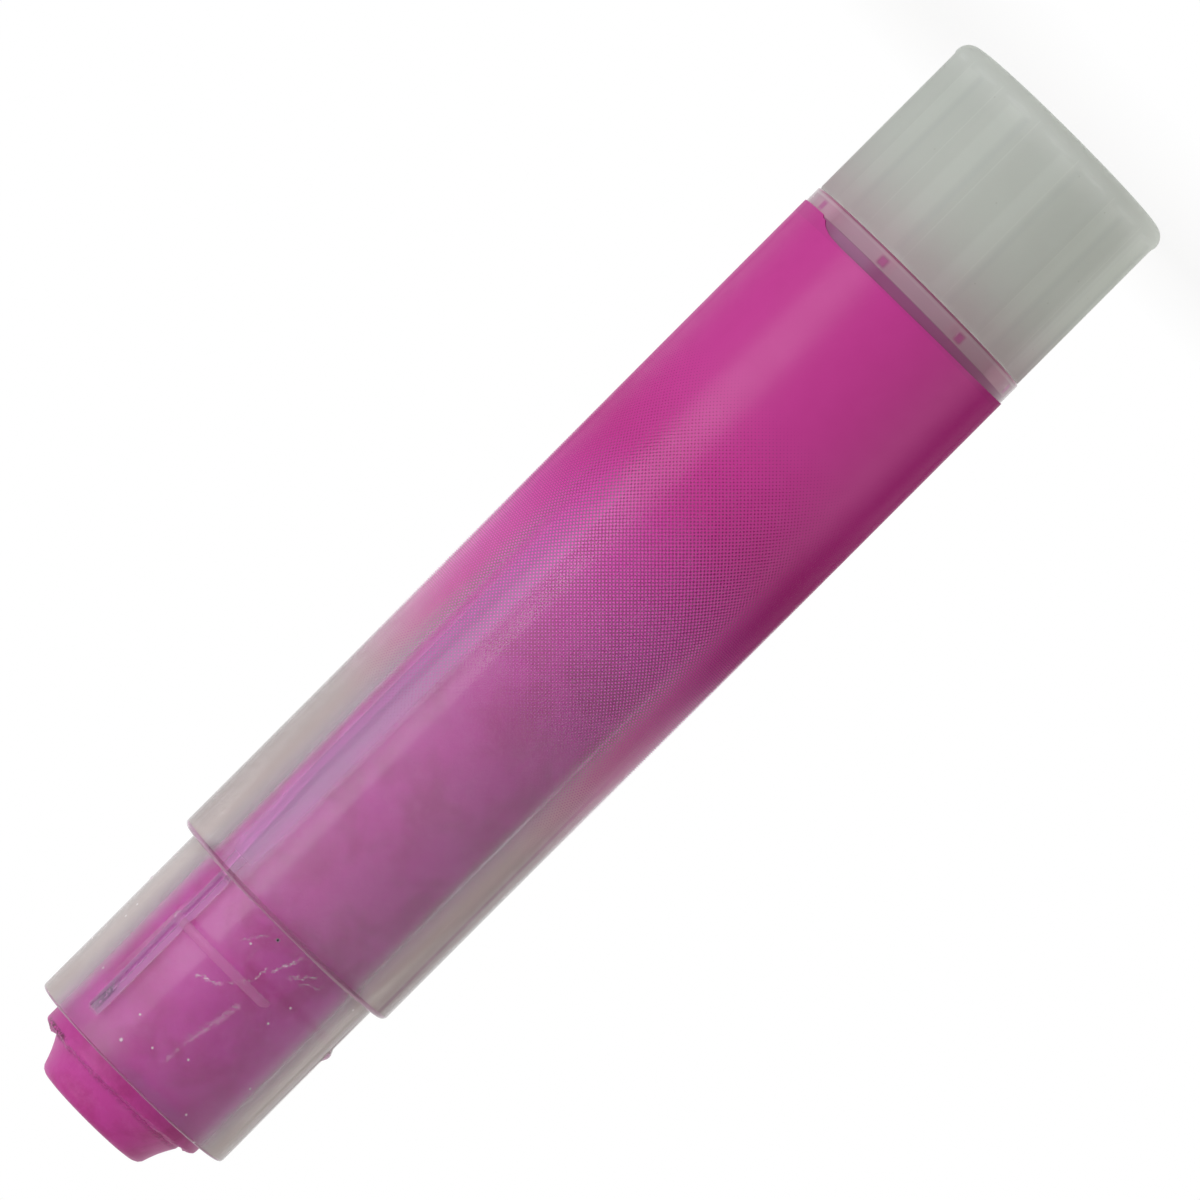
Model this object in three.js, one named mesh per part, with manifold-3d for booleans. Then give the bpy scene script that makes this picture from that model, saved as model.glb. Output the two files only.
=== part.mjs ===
// A twist-up gel crayon, standing on the flat end of its twist base with the stick's tip on top.
// The translucent barrel keys a cup that carries the waxy stick. The twist base turns a coarse
// left-hand screw, and the screw drives the cup up or down inside the barrel.
// Sizes are in millimetres, +Z is up, and the origin is the middle of the base's end face.
import * as THREE from "three";
import { mergeVertices } from "three/addons/utils/BufferGeometryUtils.js";
import Module from "manifold-3d";

const wasm = await Module();
wasm.setup();

// Fineness of round shapes
const SIDES = 64;
const ARC_STEPS = 1;
const THREAD_STEPS = 12;

// Stick: a moulded cylinder with a stepped, tapered tip and a blind bore over the screw
const stickDiameter = 13.6;
const tipBaseDiameter = 11.4;
const tipEndDiameter = 9.1;
const tipHeight = 2.75;
const tipEdgeRadius = 0.6;
const shoulderBreak = 0.15;
const solidTipLength = 9.0;
const retractedDepth = 1.0;
const raised = 5.1;

// Carrier: a keyed cup under the stick, with the nut of the screw in its middle
const cupWall = 0.55;
const cupGap = 0.1;
const cupDepth = 7.0;
const carrierFloor = 1.6;
const nutWall = 1.4;
const nutHeight = 6.0;
const carrierClearance = 0.2;
const keyWidth = 0.6;
const keyHeight = 0.45;
const keyClearance = 0.2;

// Screw: one coarse thread on a core, with a flange and a hexagonal drive plug under it
const screwLead = 5.0;
const screwCoreDiameter = 3.8;
const threadHeight = 0.8;
const threadCrestWidth = 1.2;
const threadFlankWidth = 0.8;
const threadClearance = 0.3;
const boreClearance = 0.4;
const flangeThickness = 1.0;
const plugDiameter = 5.2;
const plugClearance = 0.12;
const lowStopGap = 0.5;
const seatGap = 0.05;

// Barrel: a body and a narrower neck in one moulding
const bodyLength = 60.9;
const bodyWall = 0.875;
const bodyEdgeRadius = 0.45;
const neckLength = 14.6;
const neckWall = 0.85;
const neckRimRadius = 0.2;
const shoulderWidth = 1.025;
const shoulderThickness = 0.9;
const shoulderTaper = 1.0;
const guideRimInset = 1.8;
const guideBaseInset = 2.4;
const guideCount = 3;
const guideAngle = 40;

// Snap bead for a cap, in short stretches round the neck
const beadCount = 3;
const beadSpan = 66;
const beadAngle = 9;
const beadHeight = 0.2;
const beadWidth = 1.1;
const beadRise = 4.3;

// Snap joint between the twist base and the barrel
const runningGap = 0.1;
const collarClearance = 0.2;
const collarWall = 0.8;
const grooveStart = 1.0;
const grooveWidth = 0.7;
const grooveDepth = 0.3;
const snapOverlap = 0.15;
const snapPlay = 0.12;
const fingerLead = 0.1;
const fingerCount = 8;
const fingerAngle = -17.5;
const slotWidth = 0.75;
const slotFloor = 0.3;

// Twist base: a hollow cup with shallow grip flutes and a socket for the screw's plug
const baseLength = 14.2;
const baseInset = 0.02;
const baseWall = 1.2;
const baseFloor = 1.4;
const baseEndRadius = 1.0;
const ledgeWidth = 1.0;
const ledgeThickness = 1.3;
const socketWall = 1.3;
const socketTopGap = 2.0;
const fluteCount = 16;
const fluteAngle = -12.6;
const fluteDepth = 0.12;
const fluteHollowRadius = 40;
const fluteEndInset = 1.6;
const fluteRimInset = 0.5;

// Label: a thin film wrapped once round the body, its ends meeting at the back
const filmThickness = 0.06;
const filmGap = 0.02;
const filmBaseInset = 1.65;
const filmShoulderInset = 2.5;
const filmSeamWidth = 0.5;

// Radii, each worked outwards from the stick
const stickRadius = stickDiameter / 2;
const cupBore = stickRadius + cupGap;
const carrierRadius = cupBore + cupWall;
const guideRadius = carrierRadius - keyHeight;
const neckBore = carrierRadius + carrierClearance;
const neckRadius = neckBore + neckWall;
const bodyRadius = neckRadius + shoulderWidth;
const bodyBore = bodyRadius - bodyWall;
const baseRadius = bodyRadius - baseInset;
const collarRadius = bodyBore - collarClearance;
const collarBore = collarRadius - collarWall;
const ledgeBore = collarBore - ledgeWidth;
const flangeRadius = collarBore - collarClearance;
const screwCoreRadius = screwCoreDiameter / 2;
const screwRadius = screwCoreRadius + threadHeight;
const nutRadius = screwRadius + threadClearance + nutWall;
const plugRadius = plugDiameter / 2;
const socketRadius = plugRadius + plugClearance + socketWall;

// Heights above the base's end face
const bodyFoot = baseLength + runningGap;
const shoulderTop = bodyFoot + bodyLength;
const rimTop = shoulderTop + neckLength;
const flangeFoot = baseLength + seatGap;
const flangeTop = flangeFoot + flangeThickness;
const carrierFoot = flangeTop + lowStopGap + raised;
const stickFoot = carrierFoot + carrierFloor + seatGap;
const stickLength = rimTop - retractedDepth + raised - stickFoot;
const stickBoreEnd = stickLength - solidTipLength;
const screwTop = stickFoot - raised + stickBoreEnd - boreClearance;

// Angles are counted from the front (-Y) towards -X, as seen along the stick from the base.
function towards(degrees) {
  return THREE.MathUtils.degToRad(-90 - degrees);
}

// A solid from a closed geometry, with its shared corners merged
function solidOf(geometry) {
  geometry.deleteAttribute("normal");
  geometry.deleteAttribute("uv");
  const merged = mergeVertices(geometry, 1e-4);
  const corners = merged.index.array;
  const triVerts = [];
  for (let i = 0; i < corners.length; i += 3) {
    const [a, b, c] = corners.slice(i, i + 3);
    if (a !== b && b !== c && c !== a) {
      triVerts.push(a, b, c);
    }
  }
  const mesh = new wasm.Mesh({
    numProp: 3,
    vertProperties: merged.attributes.position.array,
    triVerts: Uint32Array.from(triVerts),
  });
  return new wasm.Manifold(mesh);
}

// A solid turned round the Z axis from a closed path of (radius, height), walked counterclockwise
function turned(path) {
  const geometry = new THREE.LatheGeometry(path.getPoints(ARC_STEPS), SIDES);
  return solidOf(geometry.rotateX(Math.PI / 2));
}

// An upright prism from an outline, standing on the given height
function prism(outline, foot, top) {
  const settings = { depth: top - foot, bevelEnabled: false, curveSegments: 4 };
  const geometry = new THREE.ExtrudeGeometry(outline, settings);
  return solidOf(geometry.translate(0, 0, foot));
}

// A radial block from one radius to another, at an angle from the front
function spoke(degrees, inner, outer, width, foot, top) {
  const block = new THREE.BoxGeometry(outer - inner, width, top - foot);
  block.translate((inner + outer) / 2, 0, (foot + top) / 2);
  return solidOf(block.rotateZ(towards(degrees)));
}

// Copies of a solid maker, spread evenly round the axis and joined one by one
function roundAbout(count, start, make, join, whole) {
  let result = whole;
  for (let i = 0; i < count; i += 1) {
    result = join(result, make(start + (360 * i) / count));
  }
  return result;
}

function add(whole, part) {
  return whole.add(part);
}

function cut(whole, part) {
  return whole.subtract(part);
}

// A left-hand screw of one thread: its section turns back as it rises, by the height above the base
function threaded(coreRadius, crestRadius, crestWidth, foot, top, frameHeight) {
  const section = new THREE.Shape();
  for (let i = 0; i < THREAD_STEPS; i += 1) {
    const turn = i / THREAD_STEPS;
    const fromCrest = Math.abs(turn > 0.5 ? 1 - turn : turn) * screwLead;
    const down = THREE.MathUtils.clamp((fromCrest - crestWidth / 2) / threadFlankWidth, 0, 1);
    const radius = THREE.MathUtils.lerp(crestRadius, coreRadius, down);
    const angle = turn * 2 * Math.PI;
    const point = new THREE.Vector2(radius * Math.cos(angle), radius * Math.sin(angle));
    if (i === 0) {
      section.moveTo(point.x, point.y);
    } else {
      section.lineTo(point.x, point.y);
    }
  }
  const height = top - foot;
  const steps = Math.ceil((height / screwLead) * THREAD_STEPS);
  const geometry = new THREE.ExtrudeGeometry(section, { depth: height, steps, bevelEnabled: false });
  geometry.translate(0, 0, foot);
  const places = geometry.attributes.position;
  const axis = new THREE.Vector3(0, 0, 1);
  for (let i = 0; i < places.count; i += 1) {
    const place = new THREE.Vector3().fromBufferAttribute(places, i);
    place.applyAxisAngle(axis, (-2 * Math.PI * (place.z + frameHeight)) / screwLead);
    places.setXYZ(i, place.x, place.y, place.z);
  }
  return solidOf(geometry);
}

// A named mesh of a solid, with its own material
function pieceOf(name, solid, look) {
  const mesh = solid.getMesh();
  const geometry = new THREE.BufferGeometry();
  const places = new THREE.BufferAttribute(mesh.vertProperties, 3);
  geometry.setAttribute("position", places);
  geometry.setIndex(new THREE.BufferAttribute(mesh.triVerts, 1));
  geometry.computeVertexNormals();
  const piece = new THREE.Mesh(geometry, new THREE.MeshStandardMaterial(look));
  piece.name = name;
  return piece;
}

// Barrel, with its foot at height 0
function barrelSolid() {
  const shoulder = bodyLength;
  const rim = bodyLength + neckLength;
  const grooveEnd = grooveStart + grooveWidth;
  const inside = shoulder - shoulderThickness;
  const edgeRadius = Math.min(bodyEdgeRadius, shoulderWidth / 2);
  const rimRadius = Math.min(neckRimRadius, neckWall / 2);
  const profile = new THREE.Path();
  profile.moveTo(bodyBore, 0);
  profile.lineTo(bodyRadius, 0);
  profile.lineTo(bodyRadius, shoulder - edgeRadius);
  profile.absarc(bodyRadius - edgeRadius, shoulder - edgeRadius, edgeRadius, 0, Math.PI / 2);
  profile.lineTo(neckRadius, shoulder);
  profile.lineTo(neckRadius, rim - rimRadius);
  profile.absarc(neckRadius - rimRadius, rim - rimRadius, rimRadius, 0, Math.PI / 2);
  profile.lineTo(neckBore, rim);
  profile.lineTo(neckBore, inside);
  profile.lineTo(bodyBore, inside - shoulderTaper);
  profile.lineTo(bodyBore, grooveEnd);
  profile.lineTo(bodyBore + grooveDepth, grooveEnd);
  profile.lineTo(bodyBore + grooveDepth, grooveStart);
  profile.lineTo(bodyBore, grooveStart);
  profile.closePath();
  const shell = turned(profile);

  const guideTop = rim - guideRimInset;
  const inBody = (degrees) =>
    spoke(degrees, guideRadius, bodyBore + bodyWall / 2, keyWidth, guideBaseInset, inside);
  const inNeck = (degrees) =>
    spoke(degrees, guideRadius, neckBore + neckWall / 2, keyWidth, inside, guideTop);
  const keyed = roundAbout(guideCount, -guideAngle, inBody, add, shell);
  const guided = roundAbout(guideCount, -guideAngle, inNeck, add, keyed);

  const beadMiddle = shoulder + beadRise;
  const beadPath = new THREE.Path();
  beadPath.moveTo(neckRadius - neckWall / 2, beadMiddle - beadWidth / 2);
  beadPath.lineTo(neckRadius, beadMiddle - beadWidth / 2);
  beadPath.lineTo(neckRadius + beadHeight, beadMiddle - beadWidth / 4);
  beadPath.lineTo(neckRadius + beadHeight, beadMiddle + beadWidth / 4);
  beadPath.lineTo(neckRadius, beadMiddle + beadWidth / 2);
  beadPath.lineTo(neckRadius - neckWall / 2, beadMiddle + beadWidth / 2);
  beadPath.closePath();
  const ring = turned(beadPath);
  const stretch = (degrees) => {
    const from = towards(degrees + beadSpan / 2);
    const to = towards(degrees - beadSpan / 2);
    const sector = new THREE.Shape();
    sector.absarc(0, 0, 2 * bodyRadius, from, to);
    sector.lineTo(0, 0);
    sector.closePath();
    return ring.intersect(prism(sector, shoulder, rim));
  };
  return roundAbout(beadCount, -beadAngle, stretch, add, guided);
}

// Label film, with its foot at height 0
function filmSolid() {
  const length = bodyLength - filmBaseInset - filmShoulderInset;
  const inner = bodyRadius + filmGap;
  const outer = inner + filmThickness;
  const profile = new THREE.Path();
  profile.moveTo(inner, 0);
  profile.lineTo(outer, 0);
  profile.lineTo(outer, length);
  profile.lineTo(inner, length);
  profile.closePath();
  const seam = spoke(180, bodyRadius - bodyWall, 2 * bodyRadius, filmSeamWidth, -length, 2 * length);
  return turned(profile).subtract(seam);
}

// Twist base, with its end face at height 0
function baseSolid() {
  const inner = baseRadius - baseWall;
  const endRadius = Math.min(baseEndRadius, baseWall);
  const lipFoot = baseLength + runningGap + grooveStart + snapPlay;
  const lipTop = baseLength + runningGap + grooveStart + grooveWidth - snapPlay;
  const collarTop = baseLength + runningGap + grooveStart + grooveWidth + fingerLead;
  const lipRadius = bodyBore + snapOverlap;
  const ledgeFoot = baseLength - ledgeThickness;
  const socketTop = flangeFoot - socketTopGap;
  const profile = new THREE.Path();
  profile.moveTo(0, 0);
  profile.lineTo(baseRadius - endRadius, 0);
  profile.absarc(baseRadius - endRadius, endRadius, endRadius, -Math.PI / 2, 0);
  profile.lineTo(baseRadius, baseLength);
  profile.lineTo(collarRadius, baseLength);
  profile.lineTo(collarRadius, lipFoot);
  profile.lineTo(lipRadius, lipFoot);
  profile.lineTo(lipRadius, (lipFoot + lipTop) / 2);
  profile.lineTo(collarRadius, lipTop);
  profile.lineTo(collarRadius, collarTop);
  profile.lineTo(collarBore, collarTop);
  profile.lineTo(collarBore, baseLength);
  profile.lineTo(ledgeBore, baseLength);
  profile.lineTo(ledgeBore, ledgeFoot);
  profile.lineTo(inner, ledgeFoot - (inner - ledgeBore));
  profile.lineTo(inner, baseFloor);
  profile.lineTo(socketRadius, baseFloor);
  profile.lineTo(socketRadius, socketTop);
  profile.lineTo(0, socketTop);
  profile.closePath();
  const cup = turned(profile);

  const socket = new THREE.CylinderGeometry(
    plugRadius + plugClearance,
    plugRadius + plugClearance,
    baseLength,
    6,
  );
  socket.rotateX(Math.PI / 2).translate(0, 0, baseFloor + baseLength / 2);
  const drilled = cup.subtract(solidOf(socket));

  const hollow = baseRadius - fluteDepth + fluteHollowRadius;
  const reach = Math.sqrt((2 * fluteDepth) / (1 / baseRadius + 1 / fluteHollowRadius));
  const halfSpan = Math.asin(reach / fluteHollowRadius) * 1.25;
  const flute = (degrees) => {
    const outline = new THREE.Shape();
    outline.absarc(hollow, 0, fluteHollowRadius, Math.PI + halfSpan, Math.PI - halfSpan, true);
    outline.lineTo(hollow, 0);
    outline.closePath();
    const cutter = prism(outline, fluteEndInset, baseLength - fluteRimInset);
    return cutter.rotate([0, 0, -90 - degrees]);
  };
  const pitch = 360 / fluteCount;
  const fluted = roundAbout(fluteCount, fluteAngle + pitch / 2, flute, cut, drilled);

  const slotFoot = baseLength + runningGap + slotFloor;
  const slot = (degrees) =>
    spoke(degrees, collarBore - collarWall, lipRadius + collarWall, slotWidth, slotFoot, 2 * collarTop);
  return roundAbout(fingerCount, fingerAngle, slot, cut, fluted);
}

// Screw, with the underside of its flange at height 0
function screwSolid() {
  const plugFoot = baseFloor + seatGap - flangeFoot;
  const plug = new THREE.CylinderGeometry(plugRadius, plugRadius, -plugFoot + flangeThickness / 2, 6);
  plug.rotateX(Math.PI / 2).translate(0, 0, (plugFoot + flangeThickness / 2) / 2);
  const flange = new THREE.CylinderGeometry(flangeRadius, flangeRadius, flangeThickness, SIDES);
  flange.rotateX(Math.PI / 2).translate(0, 0, flangeThickness / 2);
  const top = screwTop - flangeFoot;
  const crestRadius = screwRadius;
  const thread = threaded(
    screwCoreRadius,
    crestRadius,
    threadCrestWidth,
    flangeThickness / 2,
    top,
    flangeFoot,
  );
  return solidOf(flange).add(solidOf(plug)).add(thread);
}

// Carrier, with its underside at height 0
function carrierSolid() {
  const height = carrierFloor + cupDepth;
  const profile = new THREE.Path();
  profile.moveTo(0, 0);
  profile.lineTo(carrierRadius, 0);
  profile.lineTo(carrierRadius, height);
  profile.lineTo(cupBore, height);
  profile.lineTo(cupBore, carrierFloor);
  profile.lineTo(nutRadius, carrierFloor);
  profile.lineTo(nutRadius, nutHeight);
  profile.lineTo(0, nutHeight);
  profile.closePath();
  const tap = threaded(
    screwCoreRadius + threadClearance,
    screwRadius + threadClearance,
    threadCrestWidth + 2 * threadClearance,
    -screwLead / 2,
    nutHeight + screwLead / 2,
    carrierFoot,
  );
  const notchDepth = guideRadius - keyClearance;
  const notchWidth = keyWidth + 2 * keyClearance;
  const notch = (degrees) =>
    spoke(degrees, notchDepth, 2 * carrierRadius, notchWidth, -height, 2 * height);
  const cup = turned(profile).subtract(tap);
  return roundAbout(guideCount, -guideAngle, notch, cut, cup);
}

// Stick, with its foot at height 0
function stickSolid() {
  const tipFoot = stickLength - tipHeight;
  const tipBase = tipBaseDiameter / 2;
  const tipEnd = tipEndDiameter / 2;
  const lean = Math.atan2(tipBase - tipEnd, tipHeight);
  const edge = Math.min(tipEdgeRadius, tipHeight / 2);
  const edgeCentre = tipEnd - edge * Math.tan((Math.PI / 2 - lean) / 2);
  const wideBore = nutRadius + cupGap;
  const wideBoreEnd = nutHeight - carrierFloor + boreClearance;
  const bore = screwRadius + boreClearance;
  const profile = new THREE.Path();
  profile.moveTo(wideBore, 0);
  profile.lineTo(stickRadius, 0);
  profile.lineTo(stickRadius, tipFoot - shoulderBreak);
  profile.lineTo(stickRadius - shoulderBreak, tipFoot);
  profile.lineTo(tipBase, tipFoot);
  profile.absarc(edgeCentre, stickLength - edge, edge, lean, Math.PI / 2);
  profile.lineTo(0, stickLength);
  profile.lineTo(0, stickBoreEnd);
  profile.lineTo(bore, stickBoreEnd);
  profile.lineTo(bore, wideBoreEnd);
  profile.lineTo(wideBore, wideBoreEnd);
  profile.closePath();
  return turned(profile);
}

// Materials: frosted polypropylene, printed film and magenta wax
const clearPlastic = { color: "#c3bcb8", roughness: 0.32, metalness: 0, transparent: true, opacity: 0.45 };
const greyPlastic = { color: "#b4b8b1", roughness: 0.45, metalness: 0 };
const innerPlastic = { color: "#d9d7d0", roughness: 0.5, metalness: 0 };
const printedFilm = { color: "#c03c92", roughness: 0.4, metalness: 0 };
const magentaWax = { color: "#b8448f", roughness: 0.62, metalness: 0 };

const barrelGroup = new THREE.Group();
barrelGroup.position.z = bodyFoot;
barrelGroup.add(pieceOf("barrel", barrelSolid(), clearPlastic));
const film = pieceOf("label_film", filmSolid(), printedFilm);
film.position.z = filmBaseInset;
barrelGroup.add(film);

const drive = new THREE.Group();
drive.add(pieceOf("twist_base", baseSolid(), greyPlastic));
const screw = pieceOf("drive_screw", screwSolid(), innerPlastic);
screw.position.z = flangeFoot;
drive.add(screw);

const refill = new THREE.Group();
refill.position.z = carrierFoot;
refill.add(pieceOf("stick_carrier", carrierSolid(), innerPlastic));
const stick = pieceOf("gel_stick", stickSolid(), magentaWax);
stick.position.z = stickFoot - carrierFoot;
refill.add(stick);

const crayon = new THREE.Group();
crayon.add(barrelGroup, drive, refill);

export default crayon;
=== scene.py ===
# %% [markdown]
# # A twist-up gel crayon
# The crayon stands on the flat end of its twist base, with its stick's tip on top. Its frame comes
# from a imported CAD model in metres, +Z up, and each visible part is modelled again here with more
# detail: barrel, printed film, twist base, screw, carrier and waxy stick. Lengths are written in
# millimetres and multiplied by MM.

# %% Load the frame
import math

import bmesh
import bpy
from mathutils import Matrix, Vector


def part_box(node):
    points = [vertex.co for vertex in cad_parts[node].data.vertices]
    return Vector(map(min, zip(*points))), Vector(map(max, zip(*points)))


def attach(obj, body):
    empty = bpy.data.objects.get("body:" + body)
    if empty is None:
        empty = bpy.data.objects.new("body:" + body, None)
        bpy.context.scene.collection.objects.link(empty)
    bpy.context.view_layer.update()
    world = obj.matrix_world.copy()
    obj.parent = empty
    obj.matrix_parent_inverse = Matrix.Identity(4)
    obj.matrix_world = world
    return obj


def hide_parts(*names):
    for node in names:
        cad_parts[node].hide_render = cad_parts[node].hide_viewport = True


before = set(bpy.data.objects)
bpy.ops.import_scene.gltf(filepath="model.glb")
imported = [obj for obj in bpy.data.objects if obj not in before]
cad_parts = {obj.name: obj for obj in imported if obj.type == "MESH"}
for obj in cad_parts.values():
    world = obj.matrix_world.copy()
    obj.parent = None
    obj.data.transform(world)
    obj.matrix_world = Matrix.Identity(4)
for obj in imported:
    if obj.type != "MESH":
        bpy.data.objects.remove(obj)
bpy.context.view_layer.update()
MM = 0.001
for node_name in sorted(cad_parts):
    low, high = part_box(node_name)
    print(node_name, [round(v / MM, 2) for v in low], [round(v / MM, 2) for v in high])

# %% [markdown]
# ## Camera
# The photograph looks at the crayon from the front, a little below its middle, with the picture
# turned so that the crayon lies along the diagonal. A long lens keeps its sides almost parallel.
# The aim, the roll and the field were worked out from the photograph's main corners, so the camera
# is given its axes directly instead of Euler angles.

# %% Camera axes and lens
CAMERA_DISTANCE = 700
CAMERA_AIM = (0.262, 0, 44.56)
CAMERA_TILT = math.radians(0.5)
CAMERA_ROLL = math.radians(45.03)
FIELD_WIDTH = 81.44
SENSOR_WIDTH = 36

level_right = (0, math.sin(CAMERA_TILT), -math.cos(CAMERA_TILT))
level_up = (1, 0, 0)
ahead = (0, math.cos(CAMERA_TILT), math.sin(CAMERA_TILT))
cos_roll, sin_roll = math.cos(CAMERA_ROLL), math.sin(CAMERA_ROLL)
bpy.ops.object.select_all(action="DESELECT")
bpy.ops.object.camera_add()
camera = bpy.context.object
camera.name = "camera"
for row in range(3):
    camera.matrix_world[row][0] = cos_roll * level_right[row] - sin_roll * level_up[row]
    camera.matrix_world[row][1] = sin_roll * level_right[row] + cos_roll * level_up[row]
    camera.matrix_world[row][2] = -ahead[row]
    camera.matrix_world[row][3] = (CAMERA_AIM[row] - CAMERA_DISTANCE * ahead[row]) * MM
camera.data.sensor_width = SENSOR_WIDTH
camera.data.lens = SENSOR_WIDTH * CAMERA_DISTANCE / FIELD_WIDTH
camera.data.clip_end = 20
bpy.context.scene.camera = camera
bpy.context.scene.view_settings.view_transform = "Standard"
print("camera at", [round(v, 4) for v in camera.location], "lens", round(camera.data.lens, 1))

# %% [markdown]
# ## Colours and nodes
# A colour picked from a picture is an sRGB hex value, but a shader works in linear light, so one
# function turns the one into the other. A second small function adds a node to a material: it
# sets the node's properties, then links or sets its sockets, so a tree reads from top to bottom.
# Colours are laid over each other in layers, each with its share. Light that casts a shadow passes
# straight through clear plastic, and so only takes on its colour.

# %% Helpers for materials
def linear(hex_colour, alpha=1.0):
    values = [int(hex_colour[i : i + 2], 16) / 255 for i in (1, 3, 5)]
    return [v / 12.92 if v < 0.04045 else ((v + 0.055) / 1.055) ** 2.4 for v in values] + [alpha]


def add_node(tree, kind, settings=None, inputs=None):
    made = tree.nodes.new("ShaderNode" + kind)
    for name, value in (settings or {}).items():
        setattr(made, name, value)
    for name, value in (inputs or {}).items():
        if isinstance(value, bpy.types.Node):
            value = next(socket for socket in value.outputs if socket.enabled)
        if isinstance(value, bpy.types.NodeSocket):
            tree.links.new(value, made.inputs[name])
        else:
            made.inputs[name].default_value = value
    return made


def tinted(tree, colour, layers):
    for share, hex_colour in layers:
        layer = {0: share, 6: colour, 7: linear(hex_colour)}
        colour = add_node(tree, "Mix", {"data_type": "RGBA"}, layer)
    return colour


def new_material(name):
    material = bpy.data.materials.new(name)
    material.use_nodes = True
    material.node_tree.nodes.clear()
    return material, material.node_tree


def cast_shadow_through(tree, surface, colour):
    path = add_node(tree, "LightPath")
    clear_way = add_node(tree, "BsdfTransparent", inputs={"Color": colour})
    ways = {0: path.outputs["Is Shadow Ray"], 1: surface, 2: clear_way}
    return add_node(tree, "MixShader", inputs=ways)


print("magenta wax as linear light:", [round(v, 3) for v in linear("#b8458f")])

# %% [markdown]
# ## Floor, backdrop and light
# The floor and the sky are white to the camera, and to rays that come off gloss or through clear
# plastic, so the crayon stands on plain white. For all other rays the sky is a soft grey, warmer on
# one side, and the floor is white with a thin share of plain paint that takes the crayon's shadow.
# A Map Range node turns one range of values into another. Its four limits are given in a row.

# %% Floor
FLOOR_SIZE = 8.0
FLOOR_SHADOW_SHARE = 0.12
SHADOW_REACH = 0.10


def levels(value, *limits):
    return {"Value": value} | dict(zip(("From Min", "From Max", "To Min", "To Max"), limits))


def seen_as_backdrop(tree):
    path = add_node(tree, "LightPath")
    seen = path.outputs["Is Camera Ray"]
    for kind in ("Is Glossy Ray", "Is Transmission Ray"):
        seen = add_node(tree, "Math", {"operation": "MAXIMUM"}, {0: seen, 1: path.outputs[kind]})
    return seen


bpy.ops.mesh.primitive_plane_add(size=FLOOR_SIZE, location=(0, 0, 0))
floor = bpy.context.object
floor.name = "floor"
paper, tree = new_material("white_paper_floor")
paint = add_node(tree, "BsdfDiffuse", inputs={"Color": linear("#f4f3f1")})
glow = add_node(tree, "Emission", inputs={"Color": (1, 1, 1, 1), "Strength": 1.0})
spot = add_node(tree, "TexCoord").outputs["Object"]
away = add_node(tree, "VectorMath", {"operation": "LENGTH"}, {0: spot}).outputs["Value"]
white = add_node(tree, "MapRange", inputs=levels(away, 0, SHADOW_REACH, 1 - FLOOR_SHADOW_SHARE, 1.0))
veil = add_node(tree, "Math", {"operation": "MULTIPLY"}, {0: seen_as_backdrop(tree), 1: white})
surface = add_node(tree, "MixShader", inputs={0: veil, 1: paint, 2: glow})
add_node(tree, "OutputMaterial", inputs={"Surface": surface.outputs[0]})
floor.data.materials.append(paper)
print("floor", FLOOR_SIZE, "m across")

# %% Sky
SKY_FILL = 0.50
COOL_SIDE, WARM_SIDE = 0.3, -0.9

sky = bpy.data.worlds.new("studio_sky")
sky.use_nodes = True
sky.node_tree.nodes.clear()
bpy.context.scene.world = sky
tree = sky.node_tree
seen = seen_as_backdrop(tree)
strength = add_node(tree, "MapRange", inputs=levels(seen, 0.0, 1.0, SKY_FILL, 1.0))
toward = add_node(tree, "SeparateXYZ", inputs={0: add_node(tree, "TexCoord").outputs["Generated"]})
warmth = add_node(tree, "MapRange", inputs=levels(toward.outputs["X"], COOL_SIDE, WARM_SIDE))
tone = tinted(tree, linear("#fbfdff"), [(warmth, "#e6dac4"), (seen, "#ffffff")])
backdrop = add_node(tree, "Background", inputs={"Color": tone, "Strength": strength})
add_node(tree, "OutputWorld", inputs={"Surface": backdrop})
print("sky fill", SKY_FILL)

# %% [markdown]
# One long soft box stands at the upper left of the picture. Its mirror image is the bright band
# along the barrel, and that band gives its place: normals leaning 14 to 33 degrees towards +X
# reflect it, so it spans 28 to 66 degrees from the line of sight.

# %% Soft box
BOX_BEARING = math.radians(47)
BOX_LIFT = math.radians(12)
BOX_DISTANCE = 0.60
BOX_WIDTH = 0.38
BOX_LENGTH = 0.70
BOX_POWER = 1.9

bpy.ops.object.light_add(type="AREA")
soft_box = bpy.context.object
soft_box.name = "soft_box"
soft_box.data.shape = "RECTANGLE"
soft_box.data.size = BOX_WIDTH
soft_box.data.size_y = BOX_LENGTH
soft_box.data.energy = BOX_POWER
soft_box.location = (
    BOX_DISTANCE * math.cos(BOX_LIFT) * math.sin(BOX_BEARING),
    -BOX_DISTANCE * math.cos(BOX_LIFT) * math.cos(BOX_BEARING),
    CAMERA_AIM[2] * MM + BOX_DISTANCE * math.sin(BOX_LIFT),
)
soft_box.rotation_euler = (math.pi / 2 - BOX_LIFT, 0, BOX_BEARING)
print("soft box at", [round(v, 3) for v in soft_box.location])

# %% [markdown]
# ## Places on a turned piece
# Every pattern lies on the piece itself, by its own object coordinates, so it stays put when the
# piece moves. Three values are handy on a turned piece: the height and the distance from the axis,
# both in millimetres, and the angle from the front towards -X in degrees. What repeats round the
# piece is placed once, by an angle that starts again with each repeat.

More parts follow.
